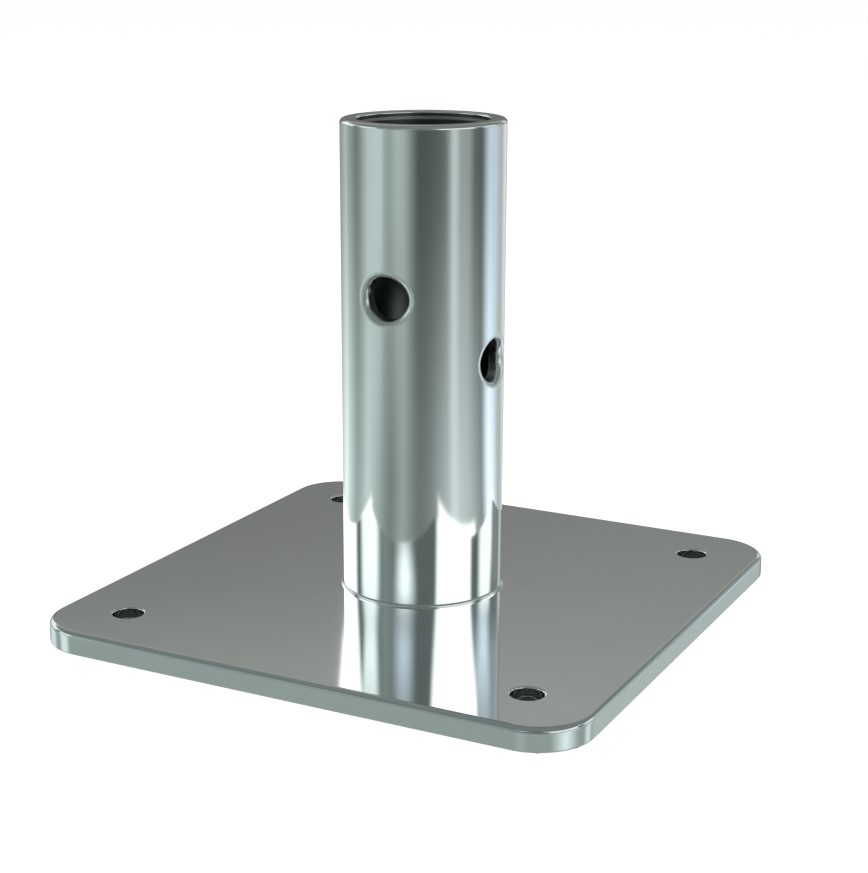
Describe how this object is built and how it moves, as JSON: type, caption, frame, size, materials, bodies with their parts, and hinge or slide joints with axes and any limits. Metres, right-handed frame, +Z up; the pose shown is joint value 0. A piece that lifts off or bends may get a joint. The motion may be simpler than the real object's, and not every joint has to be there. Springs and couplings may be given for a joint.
{
  "type": "scaffold base plate",
  "caption": "Flat square steel plate with rounded corners and a bolt hole near each corner, welded to an upright round tube with pin holes across it at right angles.",
  "frame": {"origin": "middle of the plate's underside, on the ground", "axes": "+Z up along the tube; +X along the lower pin hole and square to one side of the plate"},
  "size_m": [0.15, 0.15, 0.13],
  "materials": {
    "plate_steel": "bright zinc plate",
    "tube_steel": "bright zinc plate",
    "weld_steel": "bright zinc plate"
  },
  "bodies": {
    "root": {"base_plate": "plate_steel", "socket_tube": "tube_steel", "weld_bead": "weld_steel"}
  },
  "joints": []
}
